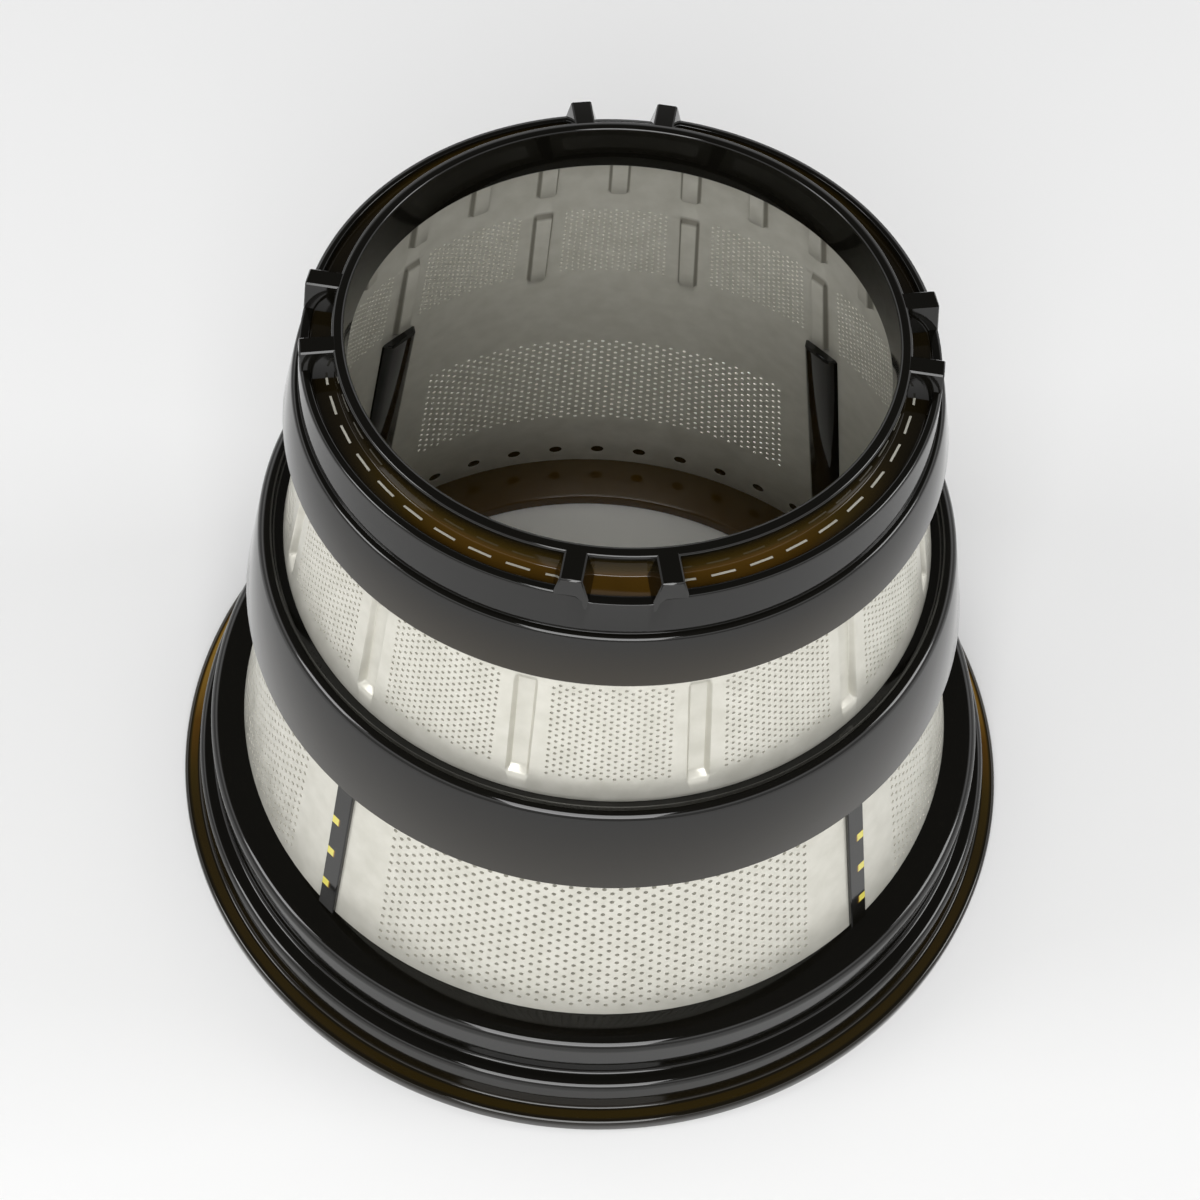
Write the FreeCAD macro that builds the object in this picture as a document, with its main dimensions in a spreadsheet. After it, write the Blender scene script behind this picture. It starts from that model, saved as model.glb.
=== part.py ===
import FreeCAD, Part
import math
import os
import Sketcher

# Juicer mesh screen: one conical perforated steel sheet, held by two separate smoked plastic mouldings.
# It stands on its wide end. Z is the axis of the cone, up is towards the narrow end, and one tooth pair
# of the narrow ring faces -Y.

os.makedirs("parts", exist_ok=True)
doc = FreeCAD.newDocument("mesh_screen")

# Driving dimensions, in millimetres, degrees and counts
SIZES = [
    # Steel sheet, a cone measured on its outer face
    ("cone_low_r", 48.9),
    ("cone_top_r", 31.1),
    ("gauge", 0.4),
    ("sheet_seat", 1.0),
    # Heights stacked from the surface it stands on up to the collar
    ("base_height", 14.0),
    ("lower_window", 26.9),
    ("band_height", 11.6),
    ("upper_window", 18.8),
    ("skirt_height", 6.4),
    ("neck_height", 5.3),
    ("collar_rise", 2.0),
    # Wide end of the lower frame
    ("ledge_width", 4.4),
    ("step_width", 2.5),
    ("step_height", 7.0),
    ("step_draft", 0.4),
    ("flange_width", 2.2),
    ("flange_height", 2.0),
    ("lip_width", 7.0),
    ("lip_height", 2.0),
    ("ledge_round", 1.0),
    ("step_round", 0.7),
    ("flange_round", 0.6),
    # Middle band of the lower frame
    ("band_stand", 3.0),
    ("band_lip", 1.5),
    ("band_edge", 1.6),
    ("band_undercut", 2.6),
    ("trough_depth", 1.3),
    ("band_round", 0.7),
    # Four ribs that tie the band to the wide end, through slots in the sheet
    ("rib_count", 4),
    ("rib_turn", 45),
    ("rib_width", 5.6),
    ("rib_depth", 2.8),
    ("rib_taper", 18),
    ("rib_overrun", 0.6),
    ("web_width", 2.6),
    ("web_proud", 0.3),
    ("slot_length", 5.1),
    ("slot_pitch", 5.9),
    ("slot_sink", 0.7),
    # Narrow ring
    ("collar_gap", 1.0),
    ("collar_wall", 1.3),
    ("collar_depth", 5.7),
    ("channel_gap", 1.5),
    ("channel_depth", 1.15),
    ("neck_wall", 1.0),
    ("neck_draft", 0.4),
    ("skirt_step", 0.7),
    ("skirt_stand", 2.8),
    ("skirt_edge", 1.3),
    ("skirt_undercut", 1.8),
    ("ring_round", 0.35),
    # Tooth pairs that bridge the channel of the narrow ring
    ("tooth_groups", 4),
    ("tooth_turn", 8.4),
    ("tooth_base", 3.7),
    ("tooth_top", 2.2),
    ("tooth_proud", 0.1),
    ("gate_width", 6.2),
    ("gate_depth", 0.9),
    # Castellated top edge of the sheet
    ("edge_drop", 1.1),
    ("notch_count", 48),
    ("notch_width", 1.6),
    ("notch_depth", 1.7),
    ("gate_notch_width", 8.1),
    ("gate_notch_depth", 1.2),
    # Stiffening ribs pressed inward
    ("press_depth", 0.9),
    ("press_width", 2.6),
    ("long_count", 12),
    ("long_length", 14.8),
    ("long_clear", 0.8),
    ("short_count", 24),
    ("short_length", 8.6),
    # Perforation, fewer and wider holes than the real sheet, in its real panels
    ("fine_hole_r", 0.6),
    ("fine_spread", 6.0),
    ("fine_rise", 6.5),
    ("fine_clear", 5.5),
    ("coarse_turn", 25.2),
    ("coarse_spread", 9.4),
    ("coarse_hole_r", 0.9),
    ("coarse_rise", 7.3),
    ("coarse_clear", 2.6),
    # Anchor holes that the wide end is moulded through
    ("anchor_count", 48),
    ("anchor_hole_r", 0.85),
    ("anchor_height", 5.5),
    ("peg_recess", 0.1),
]

sizes = doc.addObject("Spreadsheet::Sheet", "sizes")
for row, (alias, value) in enumerate(SIZES, start=1):
    sizes.set("A%d" % row, alias)
    sizes.set("B%d" % row, str(value))
    sizes.setAlias("B%d" % row, alias)
doc.recompute()

# Heights along the axis, as expressions on the sheet
LEDGE_Z = "sizes.base_height"
BAND_LOW_Z = "(%s + sizes.lower_window)" % LEDGE_Z
BAND_TOP_Z = "(%s + sizes.band_height)" % BAND_LOW_Z
TROUGH_Z = "(%s - sizes.trough_depth)" % BAND_TOP_Z
SKIRT_LOW_Z = "(%s + sizes.upper_window)" % BAND_TOP_Z
SKIRT_TOP_Z = "(%s + sizes.skirt_height)" % SKIRT_LOW_Z
RIM_Z = "(%s + sizes.neck_height)" % SKIRT_TOP_Z
COLLAR_TOP_Z = "(%s + sizes.collar_rise)" % RIM_Z
COLLAR_LOW_Z = "(%s - sizes.collar_depth)" % COLLAR_TOP_Z
FLOOR_Z = "(%s - sizes.channel_depth)" % RIM_Z
EDGE_Z = "(%s - sizes.edge_drop)" % RIM_Z
SLOPE = "((sizes.cone_low_r - sizes.cone_top_r) / %s)" % EDGE_Z
LEAN = "atan(%s)" % SLOPE


def cone(height):
    """Radius of the sheet's outer face at a height."""
    return "(sizes.cone_low_r - %s * %s)" % (SLOPE, height)


# Radii of the mouldings, all taken from the sheet that they are moulded on
STEP_R = "(%s + sizes.ledge_width)" % cone(LEDGE_Z)
RIM_STEP_R = "(%s + sizes.step_width)" % STEP_R
FLANGE_R = "(%s + sizes.flange_width)" % RIM_STEP_R
LIP_R = "(%s - sizes.gauge - sizes.lip_width)" % cone("sizes.lip_height")
BAND_LOW_R = "(%s + sizes.band_stand)" % cone(BAND_LOW_Z)
BAND_TOP_R = "(%s + sizes.band_stand)" % cone(BAND_TOP_Z)
COLLAR_R = "(sizes.cone_top_r - sizes.collar_gap)"
BORE_R = "(%s - sizes.collar_wall)" % COLLAR_R
NECK_IN_R = "(sizes.cone_top_r + sizes.channel_gap)"
NECK_R = "(%s + sizes.neck_wall)" % NECK_IN_R
NECK_LOW_R = "(%s + sizes.neck_draft)" % NECK_R
SKIRT_TOP_R = "(%s + sizes.skirt_step)" % NECK_LOW_R
SKIRT_LOW_R = "(%s + sizes.skirt_stand)" % cone(SKIRT_LOW_Z)

# A sketch is drawn anywhere in its first quarter, and its expressions then bring it to size
DRAFT_AT = 100.0
DRAFT_SPAN = 20.0
# How close an edge's radius and height are to the ones asked for, in millimetres
NEAR = 0.001
# Share of the sheet's gauge at which a moulding's blank stops inside the sheet, before the sheet is cut out
MID = "sizes.gauge / 2"


def origin(body, role):
    """The origin plane or axis of a body."""
    return [feature for feature in body.Origin.OriginFeatures if feature.Role == role][0]


def hold(sketch, kind, geometry, point, expression, start):
    """One distance from the sketch's origin, bound to the sheet."""
    index = sketch.addConstraint(Sketcher.Constraint(kind, -1, 1, geometry, point, start))
    sketch.setExpression("Constraints[%d]" % index, expression)


def outline(sketch, corners):
    """Closed outline of straight runs through (across, up) expressions."""
    count = len(corners)
    turns = [2 * math.pi * i / count for i in range(count)]
    places = [
        FreeCAD.Vector(DRAFT_AT + DRAFT_SPAN * math.cos(t), DRAFT_AT + DRAFT_SPAN * math.sin(t), 0)
        for t in turns
    ]
    first = sketch.GeometryCount
    for i in range(count):
        sketch.addGeometry(Part.LineSegment(places[i], places[(i + 1) % count]), False)
    for i in range(count):
        sketch.addConstraint(Sketcher.Constraint("Coincident", first + i, 2, first + (i + 1) % count, 1))
    for i, (across, up) in enumerate(corners):
        hold(sketch, "DistanceX", first + i, 1, across, places[i].x)
        hold(sketch, "DistanceY", first + i, 1, up, places[i].y)


def rectangle(sketch, width, height, start="0"):
    """Rectangle from the sketch's own Z axis, as wide and high as the expressions say."""
    top = "(%s) + (%s)" % (start, height)
    outline(sketch, [("0", start), (width, start), (width, top), ("0", top)])


def circle(sketch, across, up, radius):
    """Round hole with its centre at (across, up)."""
    middle = FreeCAD.Vector(DRAFT_AT, DRAFT_AT, 0)
    index = sketch.addGeometry(Part.Circle(middle, FreeCAD.Vector(0, 0, 1), DRAFT_SPAN), False)
    hold(sketch, "DistanceX", index, 3, across, DRAFT_AT)
    hold(sketch, "DistanceY", index, 3, up, DRAFT_AT)
    size = sketch.addConstraint(Sketcher.Constraint("Radius", index, DRAFT_SPAN))
    sketch.setExpression("Constraints[%d]" % size, radius)


def stadium(sketch, width, length, inset="0"):
    """Slot shape with round ends, its long way up the sketch, drawn in from its edge by the inset."""
    low = FreeCAD.Vector(DRAFT_AT, DRAFT_AT, 0)
    high = FreeCAD.Vector(DRAFT_AT, DRAFT_AT + 3 * DRAFT_SPAN, 0)
    side = FreeCAD.Vector(DRAFT_SPAN, 0, 0)
    up = FreeCAD.Vector(0, 0, 1)
    top = Part.ArcOfCircle(Part.Circle(high, up, DRAFT_SPAN), 0, math.pi)
    bottom = Part.ArcOfCircle(Part.Circle(low, up, DRAFT_SPAN), math.pi, 2 * math.pi)
    arc_top = sketch.addGeometry(top, False)
    line_left = sketch.addGeometry(Part.LineSegment(high - side, low - side), False)
    arc_bottom = sketch.addGeometry(bottom, False)
    line_right = sketch.addGeometry(Part.LineSegment(low + side, high + side), False)
    ring = [(arc_top, line_left), (line_left, arc_bottom), (arc_bottom, line_right), (line_right, arc_top)]
    for one, other in ring:
        sketch.addConstraint(Sketcher.Constraint("Tangent", one, 2, other, 1))
    sketch.addConstraint(Sketcher.Constraint("Equal", arc_top, arc_bottom))
    hold(sketch, "DistanceX", arc_bottom, 3, "(%s) / 2" % width, low.x)
    hold(sketch, "DistanceY", arc_bottom, 3, "(%s) / 2" % width, low.y)
    hold(sketch, "DistanceX", arc_top, 3, "(%s) / 2" % width, high.x)
    hold(sketch, "DistanceY", arc_top, 3, "(%s) - (%s) / 2" % (length, width), high.y)
    size = sketch.addConstraint(Sketcher.Constraint("Radius", arc_bottom, DRAFT_SPAN))
    sketch.setExpression("Constraints[%d]" % size, "(%s) / 2 - (%s)" % (width, inset))


def section(body, name, corners):
    """Half section of a turned form, on the body's XZ plane."""
    sketch = body.newObject("Sketcher::SketchObject", name)
    sketch.AttachmentSupport = [(origin(body, "XZ_Plane"), "")]
    sketch.MapMode = "FlatFace"
    outline(sketch, corners)
    return sketch


def turned_plane(body, name, angle):
    """Upright plane through the axis, turned from the front by an angle."""
    plane = body.newObject("PartDesign::Plane", name)
    plane.AttachmentSupport = [(origin(body, "XZ_Plane"), "")]
    plane.MapMode = "FlatFace"
    plane.AttachmentOffset = FreeCAD.Placement(FreeCAD.Vector(), FreeCAD.Rotation(FreeCAD.Vector(0, 1, 0), 1))
    plane.setExpression("AttachmentOffset.Rotation.Angle", angle)
    return plane


def facing_sketch(body, name, plane, width, height, radius, lean="0"):
    """Sketch that faces outward at a radius, its lower left corner half the width beside the plane's middle."""
    sketch = body.newObject("Sketcher::SketchObject", name)
    sketch.AttachmentSupport = [(plane, "")]
    sketch.MapMode = "FlatFace"
    sketch.AttachmentOffset = FreeCAD.Placement(FreeCAD.Vector(), FreeCAD.Rotation(FreeCAD.Vector(1, 0, 0), 1))
    sketch.setExpression("AttachmentOffset.Rotation.Angle", "-(%s)" % lean)
    sketch.setExpression("AttachmentOffset.Base.x", "-(%s) / 2" % width)
    sketch.setExpression("AttachmentOffset.Base.y", height)
    sketch.setExpression("AttachmentOffset.Base.z", radius)
    return sketch


def revolve(body, name, sketch):
    """The sketch turned once round the axis."""
    feature = body.newObject("PartDesign::Revolution", name)
    feature.Profile = sketch
    feature.ReferenceAxis = (sketch, ["V_Axis"])
    feature.Angle = 360
    feature.Refine = False
    doc.recompute()
    return feature


def pad(body, name, sketch, length, inward=False, taper=None):
    """Material from the sketch outward, or inward towards the axis."""
    feature = body.newObject("PartDesign::Pad", name)
    feature.Profile = sketch
    feature.Reversed = inward
    feature.Refine = False
    feature.setExpression("Length", length)
    if taper:
        feature.setExpression("TaperAngle", taper)
    doc.recompute()
    return feature


def pocket(body, name, sketch, depth, both_ways=True):
    """Cut from the sketch, inward, or as far to each side of it."""
    before = body.Shape.Volume
    feature = body.newObject("PartDesign::Pocket", name)
    feature.Profile = sketch
    feature.Midplane = both_ways
    feature.Refine = False
    feature.setExpression("Length", depth)
    doc.recompute()
    if not feature.Shape.Volume < before:
        raise ValueError("%s cuts nothing" % name)
    return feature


def around(body, name, features, count):
    """Even copies of the features round the axis."""
    pattern = body.newObject("PartDesign::PolarPattern", name)
    pattern.Originals = features
    pattern.Axis = (origin(body, "Z_Axis"), [""])
    pattern.Angle = 360
    pattern.Refine = False
    pattern.setExpression("Occurrences", count)
    body.Tip = pattern
    doc.recompute()
    return pattern


def round_rims(body, name, rims, radius):
    """Fillet on the circular edges at the given (radius, height) expressions."""
    probe = doc.addObject("App::FeaturePython", name + "_places")
    found = []
    for number, (across, up) in enumerate(rims):
        for letter, expression in (("r", across), ("z", up)):
            field = "%s%d" % (letter, number)
            probe.addProperty("App::PropertyFloat", field)
            probe.setExpression(field, expression)
    doc.recompute()
    places = [
        (getattr(probe, "r%d" % number), getattr(probe, "z%d" % number))
        for number in range(len(rims))
    ]
    doc.removeObject(probe.Name)
    for index, edge in enumerate(body.Shape.Edges, start=1):
        if not isinstance(edge.Curve, Part.Circle):
            continue
        if not edge.Closed:
            continue
        for across, up in places:
            if abs(edge.Curve.Radius - across) < NEAR and abs(edge.Curve.Center.z - up) < NEAR:
                found.append("Edge%d" % index)
    if len(found) != len(rims):
        raise ValueError("%s: %d rims found of %d" % (name, len(found), len(rims)))
    base = body.Tip
    feature = body.newObject("PartDesign::Fillet", name)
    feature.Base = (base, found)
    feature.setExpression("Radius", radius)
    body.Tip = feature
    doc.recompute()
    return feature


def pressed_rib(body, name, plane, low, length):
    """Stiffening rib pressed inward: a rounded bulge inside and the groove that it leaves outside."""
    bulge = facing_sketch(body, name + "_bulge", plane, "sizes.press_width", low, cone(low) + " - " + MID, LEAN)
    stadium(bulge, "sizes.press_width", length)
    raised = pad(body, name + "_raised", bulge, "sizes.press_depth + " + MID, inward=True)
    groove = facing_sketch(body, name + "_groove", plane, "sizes.press_width", low, cone(low), LEAN)
    stadium(groove, "sizes.press_width", length, "sizes.gauge")
    sunk = pocket(body, name + "_sunk", groove, "sizes.press_depth", both_ways=False)
    return [raised, sunk]


def make_screen():
    """Conical perforated sheet with its pressed ribs, castellated top edge, anchor holes and rib slots."""
    body = doc.addObject("PartDesign::Body", "screen")
    # The section is drawn in zones, so that each kind of opening has a face of its own
    long_low = "(%s + sizes.long_clear)" % BAND_TOP_Z
    notch_low = "(%s - sizes.notch_depth)" % EDGE_Z
    zones = [
        "sizes.sheet_seat",
        "(sizes.anchor_height + %s) / 2" % LEDGE_Z,
        "(%s + %s) / 2" % (BAND_LOW_Z, BAND_TOP_Z),
        "(%s + sizes.long_length + %s) / 2" % (long_low, SKIRT_LOW_Z),
        "(%s + sizes.short_length + %s) / 2" % (SKIRT_LOW_Z, notch_low),
        EDGE_Z,
    ]
    outer_face = [(cone(height), height) for height in zones]
    inner_face = [(cone(height) + " - sizes.gauge", height) for height in reversed(zones)]
    wall = section(body, "sheet_section", outer_face + inner_face)
    revolve(body, "sheet_wall", wall)
    front = turned_plane(body, "front_plane", "0")
    through = "8 * sizes.gauge"

    # Notches of the top edge, which the narrow ring is moulded through
    notch = facing_sketch(body, "notch_outline", front, "sizes.notch_width", notch_low, "sizes.cone_top_r")
    rectangle(notch, "sizes.notch_width", "2 * sizes.notch_depth")
    notch_cut = pocket(body, "notch", notch, through)
    around(body, "notches", [notch_cut], "sizes.notch_count")

    # Between the two teeth of a pair the edge is lower, so that the plastic covers it
    gate_notch_low = "(%s - sizes.gate_notch_depth)" % EDGE_Z
    low_edge = facing_sketch(body, "low_edge_outline", front, "sizes.gate_notch_width", gate_notch_low,
                             "sizes.cone_top_r")
    rectangle(low_edge, "sizes.gate_notch_width", "2 * sizes.gate_notch_depth")
    low_edge_cut = pocket(body, "low_edge", low_edge, through)
    around(body, "low_edges", [low_edge_cut], "sizes.tooth_groups")

    # Four fine holes in each upper panel
    fine_low = "(%s + sizes.fine_clear)" % BAND_TOP_Z
    fine = facing_sketch(body, "fine_outline", front, "sizes.fine_spread", fine_low, cone(fine_low), LEAN)
    for across in ("0", "sizes.fine_spread"):
        for up in ("0", "sizes.fine_rise"):
            circle(fine, across, up, "sizes.fine_hole_r")
    fine_cut = pocket(body, "fine_holes", fine, through)
    around(body, "fine_panels", [fine_cut], "sizes.long_count")

    # Coarse holes in the panels between the plastic ribs, each second column half a step higher
    coarse_low = "(%s + sizes.coarse_clear)" % LEDGE_Z
    spread = "sizes.coarse_spread"
    coarse_cuts = []
    for side in (-1, 0, 1):
        plane = turned_plane(body, "coarse_plane_%d" % (side + 1), "%d * sizes.coarse_turn" % side)
        holes = facing_sketch(body, "coarse_outline_%d" % (side + 1), plane, spread, coarse_low,
                              cone(coarse_low), LEAN)
        for step in range(3):
            circle(holes, "0", "%d * sizes.coarse_rise" % step, "sizes.coarse_hole_r")
            circle(holes, spread, "%.1f * sizes.coarse_rise" % (step + 0.5), "sizes.coarse_hole_r")
        coarse_cuts.append(pocket(body, "coarse_holes_%d" % (side + 1), holes, through))
    around(body, "coarse_panels", coarse_cuts, "sizes.rib_count")

    # Anchor holes low on the sheet, and the slots that the plastic ribs pass through
    anchor = facing_sketch(body, "anchor_outline", front, "0", "sizes.anchor_height",
                           cone("sizes.anchor_height"), LEAN)
    circle(anchor, "0", "0", "sizes.anchor_hole_r")
    anchor_cut = pocket(body, "anchor_hole", anchor, through)
    around(body, "anchor_holes", [anchor_cut], "sizes.anchor_count")
    rib_plane = turned_plane(body, "rib_plane", "sizes.rib_turn")
    slot_low = "(%s - sizes.slot_sink)" % LEDGE_Z
    slots = facing_sketch(body, "slot_outline", rib_plane, "sizes.web_width", slot_low, cone(slot_low), LEAN)
    for step in range(4):
        rectangle(slots, "sizes.web_width", "sizes.slot_length", "%d * sizes.slot_pitch" % step)
    slot_cut = pocket(body, "rib_slot", slots, through)
    around(body, "rib_slots", [slot_cut], "sizes.rib_count")

    # Ribs pressed inward: short ones under the narrow ring, long ones between the fine panels
    short_length = "sizes.short_length / cos(%s)" % LEAN
    short = pressed_rib(body, "short_rib", front, SKIRT_LOW_Z, short_length)
    around(body, "short_ribs", short, "sizes.short_count")
    between = turned_plane(body, "between_panels", "180 / sizes.long_count")
    long_length = "sizes.long_length / cos(%s)" % LEAN
    long_rib = pressed_rib(body, "long_rib", between, long_low, long_length)
    around(body, "long_ribs", long_rib, "sizes.long_count")
    return body


def make_narrow_ring():
    """Blank of the ring round the narrow end: collar, open channel, neck, skirt and tooth pairs."""
    body = doc.addObject("PartDesign::Body", "narrow_ring_blank")
    skirt_root = "(%s + sizes.skirt_undercut)" % SKIRT_LOW_Z
    half = section(body, "ring_section", [
        (BORE_R, COLLAR_LOW_Z),
        (cone(COLLAR_LOW_Z) + " - " + MID, COLLAR_LOW_Z),
        (cone(skirt_root) + " - " + MID, skirt_root),
        (SKIRT_LOW_R + " - sizes.skirt_edge", SKIRT_LOW_Z),
        (SKIRT_LOW_R, SKIRT_LOW_Z),
        (SKIRT_TOP_R, SKIRT_TOP_Z),
        (NECK_LOW_R, SKIRT_TOP_Z),
        (NECK_R, RIM_Z),
        (NECK_IN_R, RIM_Z),
        (NECK_IN_R, FLOOR_Z),
        (COLLAR_R, FLOOR_Z),
        (COLLAR_R, COLLAR_TOP_Z),
        (BORE_R, COLLAR_TOP_Z),
    ])
    revolve(body, "ring_wall", half)
    rims = [
        (SKIRT_LOW_R, SKIRT_LOW_Z),
        (SKIRT_TOP_R, SKIRT_TOP_Z),
        (NECK_R, RIM_Z),
        (NECK_IN_R, RIM_Z),
        (COLLAR_R, COLLAR_TOP_Z),
        (BORE_R, COLLAR_TOP_Z),
    ]
    round_rims(body, "ring_rims", rims, "sizes.ring_round")

    # The neck is cut lower between the two teeth of each pair
    front = turned_plane(body, "ring_front", "0")
    gate_low = "(%s - sizes.gate_depth)" % RIM_Z
    gate = facing_sketch(body, "gate_outline", front, "sizes.gate_width", gate_low, NECK_R)
    rectangle(gate, "sizes.gate_width", "2 * sizes.gate_depth")
    gate_cut = pocket(body, "gate", gate, "2 * (sizes.neck_wall + sizes.channel_gap / 2)")
    around(body, "gates", [gate_cut], "sizes.tooth_groups")

    # Tapered teeth from the collar across the channel to the neck
    tooth_root = "(%s - sizes.collar_wall / 2)" % COLLAR_R
    reach = "%s + sizes.tooth_proud - %s" % (NECK_R, tooth_root)
    rise = "%s - %s" % (COLLAR_TOP_Z, FLOOR_Z)
    shoulder = "(sizes.tooth_base - sizes.tooth_top) / 2"
    for name, side in (("left", "-1"), ("right", "1")):
        plane = turned_plane(body, name + "_tooth_plane", "%s * sizes.tooth_turn" % side)
        face = facing_sketch(body, name + "_tooth_outline", plane, "sizes.tooth_base", FLOOR_Z, tooth_root)
        outline(face, [
            ("0", "0"),
            ("sizes.tooth_base", "0"),
            ("sizes.tooth_base - " + shoulder, rise),
            (shoulder, rise),
        ])
        tooth = pad(body, name + "_tooth", face, reach)
        around(body, name + "_teeth", [tooth], "sizes.tooth_groups")
    return body


def make_lower_frame():
    """Blank of the lower frame: stepped wide end, four ribs and the middle band, in one moulding."""
    body = doc.addObject("PartDesign::Body", "lower_frame_blank")
    pegs = " - sizes.gauge + sizes.peg_recess"
    base = section(body, "base_section", [
        (LIP_R, "0"),
        (FLANGE_R, "0"),
        (FLANGE_R, "sizes.flange_height"),
        (RIM_STEP_R, "sizes.flange_height"),
        (RIM_STEP_R + " - sizes.step_draft", "sizes.step_height"),
        (STEP_R, "sizes.step_height"),
        (STEP_R, LEDGE_Z),
        (cone(LEDGE_Z) + pegs, LEDGE_Z),
        (cone("sizes.lip_height") + pegs, "sizes.lip_height"),
        (LIP_R, "sizes.lip_height"),
    ])
    revolve(body, "base_wall", base)
    round_rims(body, "ledge_rim", [(STEP_R, LEDGE_Z)], "sizes.ledge_round")
    round_rims(body, "step_rim", [(RIM_STEP_R + " - sizes.step_draft", "sizes.step_height")], "sizes.step_round")
    round_rims(body, "flange_rim", [(FLANGE_R, "sizes.flange_height")], "sizes.flange_round")

    # Each rib is a tapered bar inside the sheet, with a narrow web through the slots to its outside
    rib_plane = turned_plane(body, "rib_plane", "sizes.rib_turn")
    rib_low = "sizes.sheet_seat"
    rib_length = "(%s + sizes.rib_overrun - %s) / cos(%s)" % (BAND_TOP_Z, rib_low, LEAN)
    bar = facing_sketch(body, "bar_outline", rib_plane, "sizes.rib_width", rib_low, cone(rib_low) + " - " + MID, LEAN)
    rectangle(bar, "sizes.rib_width", rib_length)
    rib = pad(body, "rib_bar", bar, "sizes.rib_depth + " + MID, inward=True, taper="-sizes.rib_taper")
    web_low = "(%s - sizes.slot_sink)" % LEDGE_Z
    web_length = "(%s + sizes.band_undercut - %s) / cos(%s)" % (BAND_LOW_Z, web_low, LEAN)
    web_root = cone(web_low) + " - 2 * sizes.gauge"
    strip = facing_sketch(body, "web_outline", rib_plane, "sizes.web_width", web_low, web_root, LEAN)
    rectangle(strip, "sizes.web_width", web_length)
    web = pad(body, "rib_web", strip, "2 * sizes.gauge + sizes.web_proud")
    around(body, "ribs", [rib, web], "sizes.rib_count")

    band_root = "(%s + sizes.band_undercut)" % BAND_LOW_Z
    band = section(body, "band_section", [
        (cone(band_root) + " - " + MID, band_root),
        (BAND_LOW_R + " - sizes.band_edge", BAND_LOW_Z),
        (BAND_LOW_R, BAND_LOW_Z),
        (BAND_TOP_R, BAND_TOP_Z),
        (BAND_TOP_R + " - sizes.band_lip", BAND_TOP_Z),
        (BAND_TOP_R + " - sizes.band_lip", TROUGH_Z),
        (cone(TROUGH_Z) + " - " + MID, TROUGH_Z),
    ])
    revolve(body, "band_wall", band)
    round_rims(body, "band_rim", [(BAND_TOP_R, BAND_TOP_Z)], "sizes.band_round")
    return body


def moulded_on(blank, sheet, label):
    """A moulding as it leaves the tool: its blank less the steel sheet that it is moulded round."""
    moulding = doc.addObject("Part::Cut", label)
    moulding.Base = blank
    moulding.Tool = sheet
    moulding.Label = label
    doc.recompute()
    return moulding


screen = make_screen()
narrow_ring = moulded_on(make_narrow_ring(), screen, "narrow_ring")
lower_frame = moulded_on(make_lower_frame(), screen, "lower_frame")

doc.recompute()
for thing in doc.Objects:
    if "Invalid" in thing.State or "Error" in thing.State:
        raise ValueError("%s did not recompute: %s" % (thing.Name, thing.State))
for node in (narrow_ring, screen, lower_frame):
    shape = node.Shape
    if shape.isNull() or not shape.isValid():
        raise ValueError("%s has no valid shape" % node.Label)
    shape.exportStep("parts/%s.step" % node.Label)
    print(node.Label, "solids", len(shape.Solids), "volume", round(shape.Volume, 1))
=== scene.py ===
import math
from collections import namedtuple

import bmesh
import bpy
import numpy as np
from mathutils import Matrix, Vector
from mathutils.geometry import delaunay_2d_cdt


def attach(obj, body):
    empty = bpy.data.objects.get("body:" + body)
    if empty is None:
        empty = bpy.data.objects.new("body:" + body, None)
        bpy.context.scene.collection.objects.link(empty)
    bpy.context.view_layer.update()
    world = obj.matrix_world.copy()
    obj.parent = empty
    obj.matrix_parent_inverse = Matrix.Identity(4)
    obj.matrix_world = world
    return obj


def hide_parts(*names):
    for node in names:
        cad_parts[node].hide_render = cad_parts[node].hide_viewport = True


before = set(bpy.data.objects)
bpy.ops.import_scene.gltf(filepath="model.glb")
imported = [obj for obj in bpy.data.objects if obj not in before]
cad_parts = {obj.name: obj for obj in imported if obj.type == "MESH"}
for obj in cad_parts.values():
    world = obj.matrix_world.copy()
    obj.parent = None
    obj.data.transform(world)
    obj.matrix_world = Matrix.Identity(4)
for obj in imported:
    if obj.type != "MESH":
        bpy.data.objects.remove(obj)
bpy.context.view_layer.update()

MM = 0.001

# Sizes are in millimetres and degrees, most of them as in the part's source.
# Angles are from the front, towards +X, and Z is the height above the wide end.
QUARTER = 90.0
CONE_LOW_R, CONE_TOP_R = 48.9, 31.1
SHEET_SEAT = 1.0
LEDGE_Z = 14.0
BAND_LOW_Z, BAND_TOP_Z = 40.9, 52.5
SKIRT_LOW_Z, SKIRT_TOP_Z = 71.3, 77.7
FLOOR_Z, EDGE_Z, RIM_Z = 81.85, 81.9, 83.0
COLLAR_LOW_Z, COLLAR_TOP_Z = 79.3, 85.0
SLOPE = (CONE_LOW_R - CONE_TOP_R) / EDGE_Z
LEAN = math.atan(SLOPE)
# Places closer than this count as the same
NEAR = 0.01


def cone(z):
    """Radius of the sheet's outer face at a height."""
    return CONE_LOW_R - SLOPE * z


def spot(angle, radius, z):
    """Point at an angle from the front, in metres."""
    turn = math.radians(angle)
    return Vector((radius * math.sin(turn), -radius * math.cos(turn), z)) * MM


def around(angle, outline):
    """Points (x across, r out, z up) of an outline that stands at an angle from the front, in metres."""
    out = spot(angle, 1.0, 0.0) / MM
    across = Vector((-out.y, out.x, 0.0))
    return [(out * r + across * x) * MM + Vector((0, 0, z * MM)) for x, r, z in outline]


def ease(value):
    """Smooth step from 0 to 1."""
    value = min(max(value, 0.0), 1.0)
    return value * value * (3 - 2 * value)


# Steel sheet
GAUGE = 0.39
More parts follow.
